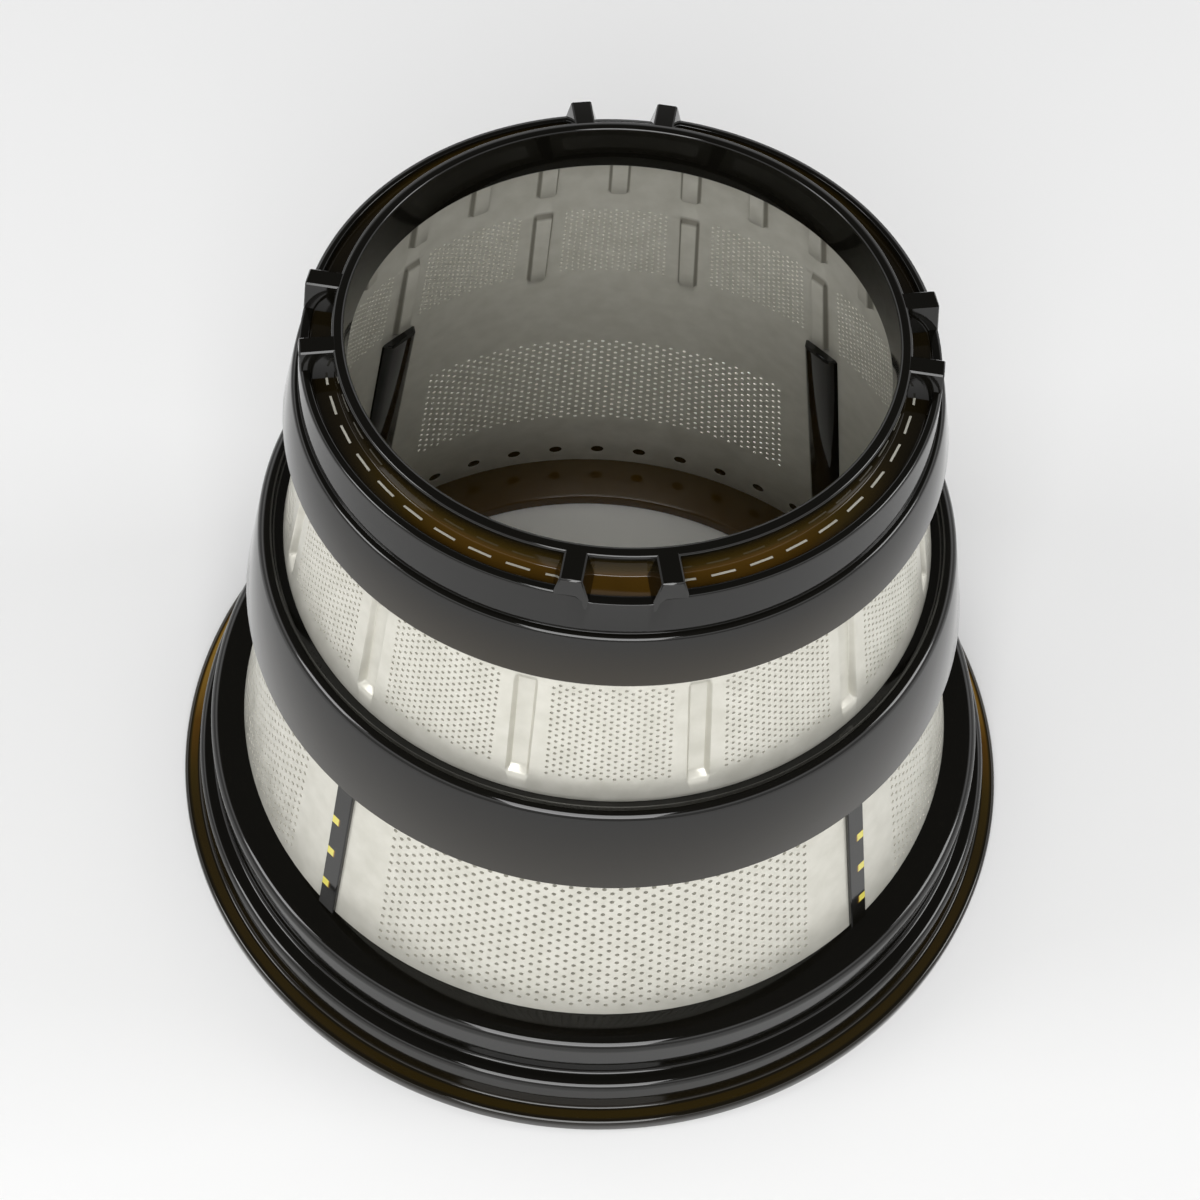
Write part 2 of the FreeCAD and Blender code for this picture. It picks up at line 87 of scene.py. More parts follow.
# Hole columns run up the cone a turn apart, and each second column is half a rise higher
Perforation = namedtuple("Perforation", "turn rise columns rows low radius sides")
FINE = Perforation(turn=1.1245, rise=0.896, columns=19, rows=15, low=54.6, radius=0.215, sides=5)
COARSE = Perforation(turn=1.3, rise=1.45, columns=54, rows=15, low=15.75, radius=0.29, sides=6)
FINE_PANEL_TURN = 30.0
# The inner mouth of an etched hole, as a share of its outer mouth
MOUTH = 0.92
# Anchor holes and the notches of the edge stand at the same twelve stations of a quarter
STATION_TURN, STATIONS = 7.5, range(-6, 6)
ANCHOR_Z, ANCHOR_R, ANCHOR_SIDES = 5.5, 0.95, 12
NOTCH_HALF, NOTCH_LOW_Z = 1.45, 80.2
# Points along the wide notch between the two teeth of a pair
WIDE_NOTCH_POINTS = 9
# The plastic's inner ribs stand here, behind slots in the sheet
RIB_TURN = 45.0
SLOT_LOW_Z, SLOT_PITCH, SLOT_LENGTH, SLOT_WIDTH, SLOT_COUNT = 13.3, 5.77, 4.98, 2.6, 4
# Pressed ribs: how deep, half their width, and how far their walls and ends slope, in this many steps
PRESS_DEPTH, PRESS_HALF, PRESS_WALL, PRESS_END, PRESS_STEPS = 0.9, 1.3, 0.42, 1.1, 3
# A pressed rib is less deep towards the narrow end
PRESS_FADE = 0.35
# The walls of these ribs are painted dark on the inner face, a painted dark reflection, and only this much as dark
# on the outer face
PAINTED_RIB_SHADE_OUTSIDE = 0.15
PressedRibs = namedtuple("PressedRibs", "pitch shift low top rows")
LONG_RIBS = PressedRibs(pitch=30.0, shift=15.0, low=53.3, top=68.1, rows=5)
SHORT_RIBS = PressedRibs(pitch=15.0, shift=0.0, low=71.3, top=79.9, rows=3)
# A quarter of the sheet runs between two plain strips, clear of holes and ribs
QUARTER_END = 41.5
QUARTER_START = QUARTER_END - QUARTER
# Degrees become lengths on a flat sheet of this radius, so that the triangles come out even
FLAT_R = 40.0
# Plain areas of the sheet keep points in this many columns and rows, to hold the cone's curve
PLAIN_COLUMNS, PLAIN_ROWS = 37, 30
# These points stay clear of an anchor hole, in millimetres up and degrees round, of a slot in degrees,
# and of the notches in millimetres
ANCHOR_CLEAR, SLOT_CLEAR, NOTCH_CLEAR = 1.9, 2.6, 0.5
# Limits for joining points of the flat sheet, for finding a quarter's sides in degrees, and for welding in metres
FLAT_JOIN, SEAM, WELD = 1e-6, 1e-4, 1e-7


def press_at(angle, z):
    """How deep the sheet is pressed at a point, how far it is on a drawn wall, and whether a rib is near."""
    depth, wall, near = 0.0, 0.0, False
    for ribs in (LONG_RIBS, SHORT_RIBS):
        off = (angle - ribs.shift + ribs.pitch / 2) % ribs.pitch - ribs.pitch / 2
        across = PRESS_HALF - abs(math.radians(off)) * cone(z)
        along = min(z - ribs.low, ribs.top - z)
        near = near or (across > -PRESS_WALL and along > -PRESS_WALL)
        fade = 1 - PRESS_FADE * min(max((z - ribs.low) / (ribs.top - ribs.low), 0.0), 1.0)
        share = ease(across / PRESS_WALL) * ease(along / PRESS_END)
        depth = max(depth, PRESS_DEPTH * fade * share)
        # The wall counts most halfway down
        wall = max(wall, 4 * share * (1 - share))
    return depth, wall, near


class FlatSheet:
    """A quarter of the sheet unrolled to (angle, height), with loops of holes to be cut out of it."""

    def __init__(self):
        self.points, self.inner, self.owner, self.edges = [], [], [], []
        self.loops = 0

    def add(self, places):
        """Free points."""
        self.points.extend(places)
        self.inner.extend(places)
        self.owner.extend([-1] * len(places))

    def line(self, places):
        """Points joined in a row."""
        start = len(self.points)
        self.add(places)
        self.edges.extend((start + i, start + i + 1) for i in range(len(places) - 1))

    def cut(self, loop, inner=None):
        """Closed loop that is cut out, with its places on the inner face if they differ."""
        start, count = len(self.points), len(loop)
        self.points.extend(loop)
        self.inner.extend(inner or loop)
        self.owner.extend([self.loops] * count)
        self.edges.extend((start + i, start + (i + 1) % count) for i in range(count))
        self.loops += 1

    def hole(self, angle, z, radius, sides, mouth=1.0):
        """Round hole, its inner mouth a share of its outer mouth."""
        turns = [2 * math.pi * (k + 0.5) / sides for k in range(sides)]
        rings = []
        for r in (radius, radius * mouth):
            rings.append([(angle + math.degrees(r * math.cos(t) / cone(z)),
                           z + r * math.sin(t) * math.cos(LEAN)) for t in turns])
        self.cut(*rings)

    def panel(self, middle, holes):
        """Perforated panel of columns of holes, and the area that it takes."""
        for column in range(holes.columns):
            angle = middle + (column - (holes.columns - 1) / 2) * holes.turn
            for row in range(holes.rows):
                z = holes.low + (row + 0.5 * (column % 2)) * holes.rise
                self.hole(angle, z, holes.radius, holes.sides, MOUTH)
        half = holes.columns * holes.turn / 2
        return middle - half, middle + half, holes.low - holes.rise, holes.low + holes.rows * holes.rise

    def rib(self, angle, ribs):
        """Rows of points along a pressed rib, close together on its walls."""
        walls = [PRESS_HALF - PRESS_WALL * k / PRESS_STEPS for k in range(PRESS_STEPS + 1)]
        ends = [PRESS_END * k / PRESS_STEPS for k in range(PRESS_STEPS + 1)]
        heights = [ribs.low + e for e in ends]
        heights += list(np.linspace(ribs.low + PRESS_END, ribs.top - PRESS_END, ribs.rows)[1:-1])
        heights += [ribs.top - e for e in reversed(ends)]
        for x in [-w for w in walls] + [0.0] + walls[::-1]:
            self.line([(angle + math.degrees(x / cone(z)), z) for z in heights])

    def triangles(self):
        """Outer places, inner places and triangles of the sheet, with the loops left open."""
        flat = [Vector((math.radians(a) * FLAT_R, z)) for a, z in self.points]
        found, _, faces, sources, _, _ = delaunay_2d_cdt(flat, self.edges, [], 0, FLAT_JOIN)
        owners = [{self.owner[i] for i in source} - {-1} for source in sources]
        outer = [(math.degrees(p.x / FLAT_R), p.y) for p in found]
        inner = [self.inner[source[0]] if source else place for source, place in zip(sources, outer)]
        return outer, inner, [face for face in faces if not set.intersection(*(owners[i] for i in face))]


def lay_out_quarter():
    """The flat quarter of the sheet: panels, anchor holes, rib slots, pressed ribs and the castellated edge."""
    sheet = FlatSheet()
    taken = []
    for k in (-1, 0, 1):
        taken.append(sheet.panel(k * FINE_PANEL_TURN, FINE))
    taken.append(sheet.panel(0.0, COARSE))
    for k in STATIONS:
        angle = k * STATION_TURN
        sheet.hole(angle, ANCHOR_Z, ANCHOR_R, ANCHOR_SIDES)
        taken.append((angle - ANCHOR_CLEAR, angle + ANCHOR_CLEAR,
                      ANCHOR_Z - ANCHOR_CLEAR, ANCHOR_Z + ANCHOR_CLEAR))
    for k in range(SLOT_COUNT):
        low = SLOT_LOW_Z + k * SLOT_PITCH
        top = low + SLOT_LENGTH
        corners = [(-1, low), (1, low), (1, top), (-1, top)]
        sheet.cut([(-RIB_TURN + side * math.degrees(SLOT_WIDTH / 2 / cone(z)), z) for side, z in corners])
        taken.append((-RIB_TURN - SLOT_CLEAR, -RIB_TURN + SLOT_CLEAR, low, top))
    # The first pressed rib of each row stands in line with the slots
    for ribs in (LONG_RIBS, SHORT_RIBS):
        angle = -RIB_TURN
        while angle < QUARTER_END:
            sheet.rib(angle, ribs)
            angle += ribs.pitch
    # Between the two teeth of a pair the edge is cut low for three notches' width
    for k in STATIONS:
        if abs(k) > 1:
            left, right = k * STATION_TURN - NOTCH_HALF, k * STATION_TURN + NOTCH_HALF
            sheet.cut([(left, NOTCH_LOW_Z), (right, NOTCH_LOW_Z), (right, EDGE_Z), (left, EDGE_Z)])
    wide = np.linspace(-STATION_TURN - NOTCH_HALF, STATION_TURN + NOTCH_HALF, WIDE_NOTCH_POINTS)
    sheet.cut([(a, NOTCH_LOW_Z) for a in wide] + [(a, EDGE_Z) for a in wide[::-1]])
    # Border with the same heights on both sides, and even points in the plain areas
    heights = list(np.linspace(SHEET_SEAT, EDGE_Z, PLAIN_ROWS))
    columns = list(np.linspace(QUARTER_START, QUARTER_END, PLAIN_COLUMNS))
    sheet.add([(a, z) for a in (QUARTER_START, QUARTER_END) for z in heights])
    sheet.add([(a, SHEET_SEAT) for a in columns[1:-1]])
    for a in columns[1:-1]:
        for z in heights[1:-1]:
            free = not any(left < a < right and low < z < top for left, right, low, top in taken)
            near_rib = press_at(a, z)[2]
            if free and not near_rib and z < NOTCH_LOW_Z - NOTCH_CLEAR:
                sheet.add([(a, z)])
    return sheet


def build_screen():
    """One thin conical sheet with every hole, slot, notch and pressed rib cut or pressed for real."""
    outer, inner, triangles = lay_out_quarter().triangles()
    # Edges that one triangle uses are the rims of holes and of the sheet, apart from the quarter's sides
    used = {(a, b) for face in triangles for a, b in zip(face, (face[1], face[2], face[0]))}
    rims = []
    for a, b in used:
        on_seam = any(max(abs(outer[a][0] - side), abs(outer[b][0] - side)) < SEAM
                      for side in (QUARTER_START, QUARTER_END))
        if (b, a) not in used and not on_seam:
            rims.append((a, b))
    verts, faces, cut_edge, painted_wall_shade = [], [], [], []
    count = len(outer)
    for quarter in range(4):
        # The inner face takes all of the painted dark reflection on the rib walls, and the outer face takes a
        # small share
        for places, thick, painted_shade_share in ((outer, 0.0, PAINTED_RIB_SHADE_OUTSIDE), (inner, GAUGE, 1.0)):
            for a, z in places:
                depth, wall, _ = press_at(a, z)
                sink = depth + thick
                verts.append(spot(a + quarter * QUARTER, cone(z) - math.cos(LEAN) * sink,
                                  z - math.sin(LEAN) * sink))
                cut_edge.append(1.0 if z > EDGE_Z - NEAR else 0.0)
                painted_wall_shade.append(wall * painted_shade_share)
        front = 2 * quarter * count
        back = front + count
        for a, b, c in triangles:
            faces.append((front + a, front + b, front + c))
            faces.append((back + c, back + b, back + a))
        faces.extend((front + b, front + a, back + a, back + b) for a, b in rims)
    mesh = bpy.data.meshes.new("screen_sheet")
    mesh.from_pydata(verts, [], faces)
    for name, values in (("cut_edge", cut_edge), ("painted_wall_shade", painted_wall_shade)):
        mesh.attributes.new(name, "FLOAT", "POINT").data.foreach_set("value", values)
    # The quarters are welded where they meet
    welded = bmesh.new()
    welded.from_mesh(mesh)
    bmesh.ops.remove_doubles(welded, verts=welded.verts, dist=WELD)
    welded.to_mesh(mesh)
    welded.free()
    mesh.validate()
    return mesh


# Smoked plastic mouldings
ROUND_STEPS = 4
RING_SEGMENTS, FRAME_SEGMENTS = 240, 288
# Edges of a bar are softened where its faces turn by more than this
SOFT_FROM = 20.0


def rounded(corners):
    """Closed outline in which each corner (r, z, round, tint) becomes an arc of (r, z, tint)."""
    line = []
    count = len(corners)
    for i, (r, z, round_r, tint) in enumerate(corners):
        here = Vector((r, z))
        if not round_r:
            line.append((r, z, tint))
            continue
        back = (Vector(corners[i - 1][:2]) - here).normalized()
        ahead = (Vector(corners[(i + 1) % count][:2]) - here).normalized()
        half = back.angle(ahead) / 2
        centre = here + (back + ahead).normalized() * round_r / math.sin(half)
        start = here + back * round_r / math.tan(half) - centre
        end = here + ahead * round_r / math.tan(half) - centre
        first = math.atan2(start.y, start.x)
        turn = math.atan2(end.y, end.x) - first
        turn = (turn + math.pi) % (2 * math.pi) - math.pi
        for k in range(ROUND_STEPS + 1):
            t = first + turn * k / ROUND_STEPS
            line.append((centre.x + round_r * math.cos(t), centre.y + round_r * math.sin(t), tint))
    return line


class Moulding:
    """Closed shells of one moulding, with a tint on each point that says how thin the plastic is there, and where
    glow is painted on it.
    """

    def __init__(self):
        self.verts, self.faces, self.tints = [], [], []

    def turned(self, corners, segments, height=None, painted_glow=None):
        """Ring turned from an outline; height() may move a point up or down, and a painted-glow function may
        change its tint.
        """
        line = rounded(corners)
        start, size = len(self.verts), len(line)
        for k in range(segments):
            angle = 360.0 * k / segments
            for r, z, tint in line:
                self.verts.append(spot(angle, r, height(angle, r, z) if height else z))
                self.tints.append(painted_glow(angle, tint) if painted_glow else tint)
        for k in range(segments):
            here, after = start + k * size, start + (k + 1) % segments * size
            for i in range(size):
                j = (i + 1) % size
                self.faces.append((here + i, after + i, after + j, here + j))

    def solid(self, sections, soft, painted_glow=None):
        """Closed loft through sections of as many points, its sharp edges softened; a painted-glow function may
        give it a tint.
        """
        shell = bmesh.new()
        rings = [[shell.verts.new(point) for point in section] for section in sections]
        for one, other in zip(rings, rings[1:]):
            for i in range(len(one)):
                j = (i + 1) % len(one)
                shell.faces.new((one[i], one[j], other[j], other[i]))
        shell.faces.new(reversed(rings[0]))
        shell.faces.new(rings[-1])
        bmesh.ops.recalc_face_normals(shell, faces=shell.faces)
        sharp = [edge for edge in shell.edges if edge.calc_face_angle() > math.radians(SOFT_FROM)]
        bmesh.ops.bevel(shell, geom=sharp, offset=soft * MM, offset_type="OFFSET", segments=1,
                        affect="EDGES", clamp_overlap=True)
        shell.verts.index_update()
        start = len(self.verts)
        for vert in shell.verts:
            self.verts.append(vert.co.copy())
            self.tints.append(painted_glow(vert.co / MM) if painted_glow else 0.0)
        self.faces.extend(tuple(start + vert.index for vert in face.verts) for face in shell.faces)
        shell.free()

    def mesh(self, name):
        """All the shells in one mesh."""
        mesh = bpy.data.meshes.new(name)
        mesh.from_pydata(self.verts, [], self.faces)
        mesh.validate()
        tint = mesh.attributes.new("thin", "FLOAT", "POINT")
        tint.data.foreach_set("value", self.tints)
        return mesh


# Both mouldings reach the middle of the sheet
MID = GAUGE / 2

# Narrow ring
COLLAR_R, BORE_R = 30.1, 28.8
NECK_IN_R, NECK_R, NECK_LOW_R = 32.6, 33.6, 34.0
NECK_DRAFT = (NECK_LOW_R - NECK_R) / (RIM_Z - SKIRT_TOP_Z)
SKIRT_TOP_R = 34.7
SKIRT_STAND, SKIRT_EDGE, SKIRT_UNDERCUT = 2.8, 1.3, 1.8
SKIRT_LOW_R = cone(SKIRT_LOW_Z) + SKIRT_STAND
BORE_ROUND, COLLAR_ROUND, CHANNEL_ROUND = 0.3, 0.35, 0.2
NECK_FOOT_ROUND, NECK_ROUND, NECK_IN_ROUND = 0.08, 0.45, 0.25
SKIRT_TOP_ROUND, SKIRT_LOW_ROUND, SKIRT_IN_ROUND = 0.6, 0.3, 0.2
TOOTH_TURN, TOOTH_BASE, TOOTH_TOP, TOOTH_SOFT = 8.4, 3.7, 2.2, 0.14
# A tooth starts inside the collar, and its root is sunk in the channel's floor
TOOTH_IN_R = BORE_R + 0.5
TOOTH_ROOT = 1.0
# A tooth's outer face and top lie this far under the neck's face and the collar's top, so that they don't flicker
TOOTH_SINK = 0.015
# Between the two teeth of a pair the neck rises only this far above the channel's floor
GATE_HALF, GATE_RISE = 6.6, 0.25
TINT_SKIRT, TINT_CHANNEL = 0.1, 0.4
# The channel's floor has a painted glow of light let through at the front and back. At the sides it keeps this
# share of its tint, and the cosine of the angle says where the painted glow starts and over how much it grows.
CHANNEL_DARK, CHANNEL_FROM, CHANNEL_GROWTH = 0.15, 0.4, 0.5


def build_narrow_ring():
    """Collar, open channel, neck and skirt turned in one, with tooth pairs across the channel."""
    ring = Moulding()
    root = SKIRT_LOW_Z + SKIRT_UNDERCUT

    def gate(angle, r, z):
        off = abs((angle + QUARTER / 2) % QUARTER - QUARTER / 2)
        if off > GATE_HALF or r < NECK_IN_R - NEAR or z < FLOOR_Z:
            return z
        return FLOOR_Z + (z - FLOOR_Z) * GATE_RISE / (RIM_Z - FLOOR_Z)

    # Painted glow: the channel's tint is painted brighter at the front and back than at the sides
    def channel_painted_glow(angle, tint):
        facing = abs(math.cos(math.radians(angle)))
        return tint * (CHANNEL_DARK + (1 - CHANNEL_DARK) * ease((facing - CHANNEL_FROM) / CHANNEL_GROWTH))

    ring.turned([
        (BORE_R, COLLAR_LOW_Z, BORE_ROUND, 0.0),
        (cone(COLLAR_LOW_Z) - MID, COLLAR_LOW_Z, 0.0, 0.0),
        (cone(root) - MID, root, 0.0, 0.0),
        (SKIRT_LOW_R - SKIRT_EDGE, SKIRT_LOW_Z, SKIRT_IN_ROUND, TINT_SKIRT),
        (SKIRT_LOW_R, SKIRT_LOW_Z, SKIRT_LOW_ROUND, TINT_SKIRT),
        (SKIRT_TOP_R, SKIRT_TOP_Z, SKIRT_TOP_ROUND, 0.0),
        (NECK_LOW_R, SKIRT_TOP_Z, NECK_FOOT_ROUND, 0.0),
        (NECK_R, RIM_Z, NECK_ROUND, 0.0),
        (NECK_IN_R, RIM_Z, NECK_IN_ROUND, 0.0),
        (NECK_IN_R, FLOOR_Z, CHANNEL_ROUND, TINT_CHANNEL),
        (COLLAR_R, FLOOR_Z, CHANNEL_ROUND, TINT_CHANNEL),
        (COLLAR_R, COLLAR_TOP_Z, COLLAR_ROUND, 0.0),
        (BORE_R, COLLAR_TOP_Z, COLLAR_ROUND, 0.0),
    ], RING_SEGMENTS, gate, channel_painted_glow)

    levels = ((TOOTH_BASE, FLOOR_Z - TOOTH_ROOT), (TOOTH_BASE, FLOOR_Z + GATE_RISE),
              (TOOTH_TOP, COLLAR_TOP_Z - TOOTH_SINK))
    for group in range(4):
        for side in (-1, 1):
            sections = []
            for share in (0.0, 1.0):
                flank = []
                for width, z in levels:
                    neck = NECK_R + (RIM_Z - z) * NECK_DRAFT - TOOTH_SINK
                    far = math.sqrt(neck ** 2 - (width / 2) ** 2)
                    flank.append((width / 2, TOOTH_IN_R + (far - TOOTH_IN_R) * share, z))
                outline = flank + [(-x, r, z) for x, r, z in reversed(flank)]
                sections.append(around(group * QUARTER + side * TOOTH_TURN, outline))
            ring.solid(sections, TOOTH_SOFT)
    return ring.mesh("narrow_ring_moulding")


# Lower frame
LEDGE_WIDTH, STEP_WIDTH, FLANGE_WIDTH = 4.4, 2.5, 2.19
STEP_R = cone(LEDGE_Z) + LEDGE_WIDTH
RIM_STEP_R = STEP_R + STEP_WIDTH
FLANGE_R = RIM_STEP_R + FLANGE_WIDTH
STEP_Z, FLANGE_Z, STEP_DRAFT = 7.0, 2.0, 0.4
# The plastic fills the anchor holes to just under the sheet's inner face
FLUSH = GAUGE - 0.03
LIP_Z, LIP_WIDTH = 2.0, 7.4
LIP_R = cone(LIP_Z) - LIP_WIDTH
UNDER_ROUND, LIP_ROUND, FLANGE_ROUND, FLANGE_FOOT_ROUND = 0.3, 0.4, 0.6, 0.4
STEP_ROUND, STEP_FOOT_ROUND, LEDGE_ROUND = 1.0, 0.5, 1.3
BAND_STAND, BAND_EDGE, BAND_LIP, BAND_UNDERCUT, TROUGH_DEPTH = 3.0, 1.6, 1.5, 2.6, 1.3
BAND_ROUND, BAND_LOW_ROUND, BAND_IN_ROUND, TROUGH_ROUND = 1.1, 0.3, 0.2, 0.3
RIB_WIDTH, RIB_DEPTH, RIB_TAPER, RIB_SOFT = 5.6, 1.4, 0.9, 0.3
RIB_TOP_Z = 52.4
# Webs fill the slots and stand a little proud of the sheet, with their feet sunk in the ledge
WEB_WIDTH, WEB_PROUD, WEB_SOFT, WEB_ROOT = 2.6, 0.45, 0.12, 1.0
# Bridges of the sheet between the slots, where one half of the web has a painted glow of light coming through
BRIDGES, BRIDGE_HALF, BRIDGE_FADE = (18.5, 24.6, 30.5), 0.6, 0.1
# The dark half of a web and its painted lit half meet in its middle, in this part of its width
WEB_MIDDLE = 6
# The last of these is the painted glow on the lit half of a web
TINT_LIP, TINT_SEAT, TINT_BAND, PAINTED_GLOW_BRIDGE = 0.5, 0.4, 0.06, 1.0
# The flange is painted amber in a strip between these two distances from the step, a painted glow of light let
# through, and dark at its edges
AMBER_IN, AMBER_OUT = 0.5, 1.3
TINT_FLANGE, TINT_FLANGE_EDGE = 0.9, 0.15
# The flange's painted glow of light let through starts at this angle from the front, and is full after this many
# degrees more. These are the shares of its tint at the front and behind.
AMBER_FROM, AMBER_TURN = 71.0, 36.0
GLOW_FRONT, GLOW_BEHIND = 0.2, 0.82


def build_lower_frame():
    """Stepped wide end, band and four ribs of one moulding, round the sheet."""
    lower = Moulding()

    # Painted glow: the flange's amber is painted brighter behind than at the front
    def flange_painted_glow(angle, tint):
        from_front = abs((angle + 180) % 360 - 180)
        behind = ease((from_front - AMBER_FROM) / AMBER_TURN)
        return tint * (GLOW_FRONT + (GLOW_BEHIND - GLOW_FRONT) * behind)

    lower.turned([
        (LIP_R, 0.0, UNDER_ROUND, TINT_LIP),
        (FLANGE_R, 0.0, UNDER_ROUND, TINT_FLANGE_EDGE),
        (FLANGE_R, FLANGE_Z, FLANGE_ROUND, TINT_FLANGE_EDGE),
        (RIM_STEP_R + AMBER_OUT, FLANGE_Z, 0.0, TINT_FLANGE),
        (RIM_STEP_R + AMBER_IN, FLANGE_Z, 0.0, TINT_FLANGE),
        (RIM_STEP_R, FLANGE_Z, FLANGE_FOOT_ROUND, TINT_FLANGE_EDGE),
        (RIM_STEP_R - STEP_DRAFT, STEP_Z, STEP_ROUND, 0.0),
        (STEP_R, STEP_Z, STEP_FOOT_ROUND, 0.0),
        (STEP_R, LEDGE_Z, LEDGE_ROUND, 0.0),
        (cone(LEDGE_Z) - FLUSH, LEDGE_Z, 0.0, 0.0),
        (cone(LIP_Z) - FLUSH, LIP_Z, 0.0, TINT_SEAT),
        (LIP_R, LIP_Z, LIP_ROUND, TINT_LIP),
    ], FRAME_SEGMENTS, painted_glow=flange_painted_glow)
    root = BAND_LOW_Z + BAND_UNDERCUT
    trough = BAND_TOP_Z - TROUGH_DEPTH
    low_r, top_r = cone(BAND_LOW_Z) + BAND_STAND, cone(BAND_TOP_Z) + BAND_STAND
    lower.turned([
        (cone(root) - MID, root, 0.0, 0.0),
        (low_r - BAND_EDGE, BAND_LOW_Z, BAND_IN_ROUND, TINT_BAND),
        (low_r, BAND_LOW_Z, BAND_LOW_ROUND, TINT_BAND),
        (top_r, BAND_TOP_Z, BAND_ROUND, 0.0),
        (top_r - BAND_LIP, BAND_TOP_Z, TROUGH_ROUND, 0.0),
        (top_r - BAND_LIP, trough, TROUGH_ROUND, 0.0),
        (cone(trough) - MID, trough, 0.0, 0.0),
    ], FRAME_SEGMENTS)

    def bridge_painted_glow(point):
        # Painted glow: the light is painted on the half of the web that faces the sides
        on_bridge = min(abs(point.z - z) for z in BRIDGES) < BRIDGE_HALF + BRIDGE_FADE / 2
        return PAINTED_GLOW_BRIDGE if on_bridge and abs(point.x) > abs(point.y) else 0.0

    tip = RIB_WIDTH / 2 - RIB_TAPER
    bar = [(-RIB_WIDTH / 2, 0.0), (RIB_WIDTH / 2, 0.0), (tip, -RIB_DEPTH), (-tip, -RIB_DEPTH)]
    half, face = WEB_WIDTH / 2, GAUGE + WEB_PROUD
    middle = half / WEB_MIDDLE
    web = [(-half, 0.0), (-half, face), (-middle, face), (middle, face), (half, face), (half, 0.0)]
    web_heights = [LEDGE_Z - WEB_ROOT]
    for z in BRIDGES:
        web_heights += [z - BRIDGE_HALF - BRIDGE_FADE, z - BRIDGE_HALF,
                        z + BRIDGE_HALF, z + BRIDGE_HALF + BRIDGE_FADE]
    web_heights.append(root)
    for quarter in range(4):
        angle = RIB_TURN + quarter * QUARTER
        lower.solid([around(angle, [(x, cone(z) - MID + d, z) for x, d in bar])
                     for z in (SHEET_SEAT, RIB_TOP_Z)], RIB_SOFT)
        lower.solid([around(angle, [(x, cone(z) - GAUGE + d, z) for x, d in web])
                     for z in web_heights], WEB_SOFT, bridge_painted_glow)
    return lower.mesh("lower_frame_moulding")


# Materials
def linear(hex_colour):
    """sRGB hex colour as linear RGBA."""
    parts = [int(hex_colour[i:i + 2], 16) / 255 for i in (1, 3, 5)]
    return [c / 12.92 if c <= 0.04045 else ((c + 0.055) / 1.055) ** 2.4 for c in parts] + [1.0]


def add_node(tree, kind, inputs=None, stops=(), **settings):
    """One node with its settings, its ramp's stops, and its inputs: values, or other nodes' outputs to link."""
    node = tree.nodes.new(kind)
    for name, value in settings.items():
        setattr(node, name, value)
    if stops:
        ramp = node.color_ramp.elements
        for end, (position, colour) in ((ramp[0], stops[0]), (ramp[1], stops[-1])):
            end.position, end.color = position, linear(colour)
        for position, colour in stops[1:-1]:
            ramp.new(position).color = linear(colour)
    for name, value in (inputs or {}).items():
        if isinstance(value, bpy.types.NodeSocket):
            tree.links.new(value, node.inputs[name])
        else:
            node.inputs[name].default_value = value
    return node


def new_material(name):
    """Empty node material."""
    material = bpy.data.materials.new(name)
    material.use_nodes = True
    material.node_tree.nodes.clear()
    return material, material.node_tree


# Size in millimetres of the faint unevenness of each surface
PLASTIC_WAVE, STEEL_GRAIN = 7.0, 2.5
# Colours of the plastic, from thick to thin
SMOKED = ((0.0, "#0C0B08"), (0.3, "#362A0C"), (0.5, "#54390F"), (0.75, "#94742F"), (1.0, "#CFC55A"))
# Colours of the steel over its grain, and the painted dark reflection on its drawn walls
SATIN, PAINTED_RIB_SHADE = ((0.3, "#CAC8BD"), (0.7, "#D6D4CA")), "#5E5A50"
# Faces that meet at more than this angle keep a sharp edge
PLASTIC_SHARP, STEEL_SHARP = 32, 40


def smoked_plastic():
    """Smoked amber copolyester, injection moulded and polished: near black where it is thick, amber where thin,
    and amber where a glow of light let through is painted on.
    """
    material, tree = new_material("smoked_copolyester_moulded")
    thin = add_node(tree, "ShaderNodeAttribute", attribute_name="thin")
    ramp = add_node(tree, "ShaderNodeValToRGB", {"Fac": thin.outputs["Fac"]}, SMOKED)
    place = add_node(tree, "ShaderNodeTexCoord")
    wave = add_node(tree, "ShaderNodeTexNoise", {
        "Vector": place.outputs["Object"], "Scale": 1 / (PLASTIC_WAVE * MM), "Detail": 3.0})
    rough = add_node(tree, "ShaderNodeMapRange", {
        "Value": wave.outputs["Fac"], "From Min": 0.3, "From Max": 0.7, "To Min": 0.04, "To Max": 0.09})
    shader = add_node(tree, "ShaderNodeBsdfPrincipled", {
        "Base Color": ramp.outputs["Color"], "Roughness": rough.outputs["Result"], "IOR": 1.5})
    add_node(tree, "ShaderNodeOutputMaterial", {"Surface": shader.outputs["BSDF"]})
    return material


